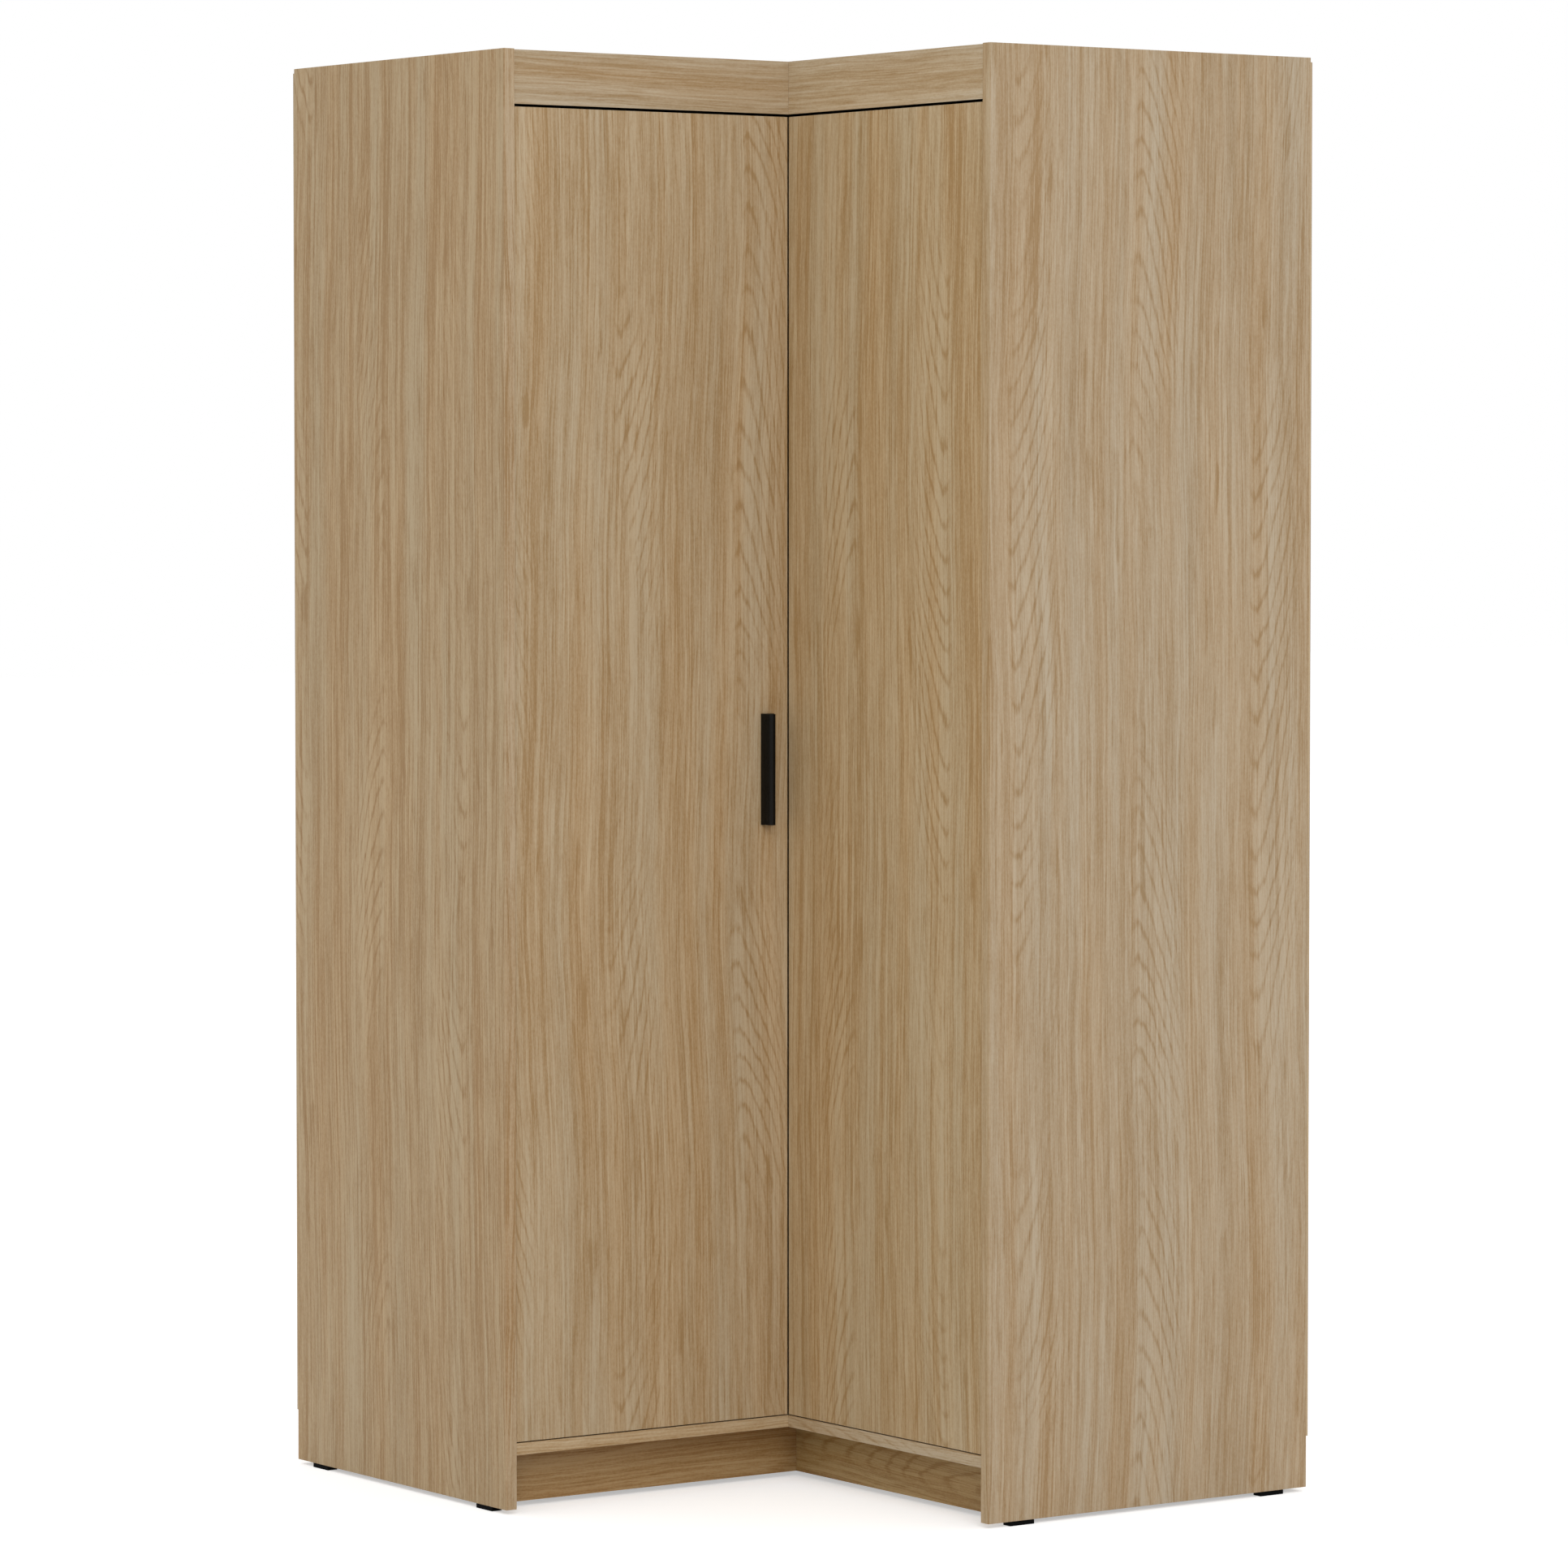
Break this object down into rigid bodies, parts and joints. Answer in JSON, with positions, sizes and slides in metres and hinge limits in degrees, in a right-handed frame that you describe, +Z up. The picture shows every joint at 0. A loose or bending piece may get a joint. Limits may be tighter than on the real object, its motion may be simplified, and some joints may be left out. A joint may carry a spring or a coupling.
{
  "type": "corner wardrobe",
  "caption": "Square-corner wardrobe in light oak melamine with two equal arms, tall inset doors on concealed hinges, a black blade handle, a hat shelf and hanging rods.",
  "frame": {"origin": "on the floor, under the middle of the square footprint", "axes": "+Z up; the left arm runs along X at the +Y wall, the right arm runs along Y at the +X wall; the back corner is at +X +Y and the open inner corner with the doors faces -X -Y"},
  "size_m": [0.978, 0.978, 1.9],
  "materials": {
    "carcass_oak": "light oak melamine, satin",
    "door_oak": "light oak melamine, satin",
    "back_board": "thin hardboard, matte",
    "hinge_steel": "nickel-plated",
    "rod_chrome": "bright",
    "rod_fitting": "zinc-plated",
    "foot_plastic": "black, matte",
    "handle_black": "black, satin",
    "screw_steel": "zinc-plated"
  },
  "bodies": {
    "carcass": {"bottom_board_long": "carcass_oak", "bottom_board_short": "carcass_oak", "corner_stile_left": "carcass_oak", "corner_stile_right": "carcass_oak", "front_plinth_left": "carcass_oak", "front_plinth_right": "carcass_oak", "hanging_rod_left": "rod_chrome", "hanging_rod_right": "rod_chrome", "hat_shelf_long": "carcass_oak", "hat_shelf_short": "carcass_oak", "left_back_panel": "back_board", "left_end_panel": "carcass_oak", "left_foot_corner": "foot_plastic", "left_foot_front": "foot_plastic", "left_foot_rear": "foot_plastic", "left_hinge_arm_1": "hinge_steel", "left_hinge_arm_2": "hinge_steel", "left_hinge_arm_3": "hinge_steel", "left_hinge_arm_4": "hinge_steel", "rear_plinth_left": "carcass_oak", "rear_plinth_right": "carcass_oak", "right_back_panel": "back_board", "right_end_panel": "carcass_oak", "right_foot_corner": "foot_plastic", "right_foot_front": "foot_plastic", "right_foot_rear": "foot_plastic", "right_hinge_arm_1": "hinge_steel", "right_hinge_arm_2": "hinge_steel", "right_hinge_arm_3": "hinge_steel", "right_hinge_arm_4": "hinge_steel", "rod_bracket_left": "rod_fitting", "rod_bracket_right": "rod_fitting", "rod_socket_left": "rod_fitting", "rod_socket_right": "rod_fitting", "top_board_long": "carcass_oak", "top_board_short": "carcass_oak", "top_rail_left": "carcass_oak", "top_rail_right": "carcass_oak"},
    "left_door": {"handle": "handle_black", "handle_screw_1": "screw_steel", "handle_screw_2": "screw_steel", "left_door": "door_oak", "left_hinge_cup_1": "hinge_steel", "left_hinge_cup_2": "hinge_steel", "left_hinge_cup_3": "hinge_steel", "left_hinge_cup_4": "hinge_steel"},
    "right_door": {"right_door": "door_oak", "right_hinge_cup_1": "hinge_steel", "right_hinge_cup_2": "hinge_steel", "right_hinge_cup_3": "hinge_steel", "right_hinge_cup_4": "hinge_steel"},
    "left_hinge_links": {"left_hinge_link_1": "hinge_steel", "left_hinge_link_2": "hinge_steel", "left_hinge_link_3": "hinge_steel", "left_hinge_link_4": "hinge_steel"},
    "right_hinge_links": {"right_hinge_link_1": "hinge_steel", "right_hinge_link_2": "hinge_steel", "right_hinge_link_3": "hinge_steel", "right_hinge_link_4": "hinge_steel"}
  },
  "joints": [
    {"name": "left_door_hinge", "type": "hinge", "parent": "carcass", "child": "left_door", "pos_m": [-0.4718, -0.04, 0.9], "axis": [0, 0, -1], "range_deg": [0, 100]},
    {"name": "right_door_hinge", "type": "hinge", "parent": "carcass", "child": "right_door", "pos_m": [-0.04, -0.4718, 0.9], "axis": [0, 0, 1], "range_deg": [0, 100]},
    {"name": "left_link_swing", "type": "hinge", "parent": "carcass", "child": "left_hinge_links", "pos_m": [-0.4718, -0.04, 0.9], "axis": [0, 0, -1], "range_deg": [0, 65]},
    {"name": "right_link_swing", "type": "hinge", "parent": "carcass", "child": "right_hinge_links", "pos_m": [-0.04, -0.4718, 0.9], "axis": [0, 0, 1], "range_deg": [0, 65]}
  ],
  "couplings": [
    {"joint": "left_link_swing", "follows": "left_door_hinge", "ratio": 0.65},
    {"joint": "right_link_swing", "follows": "right_door_hinge", "ratio": 0.65}
  ]
}
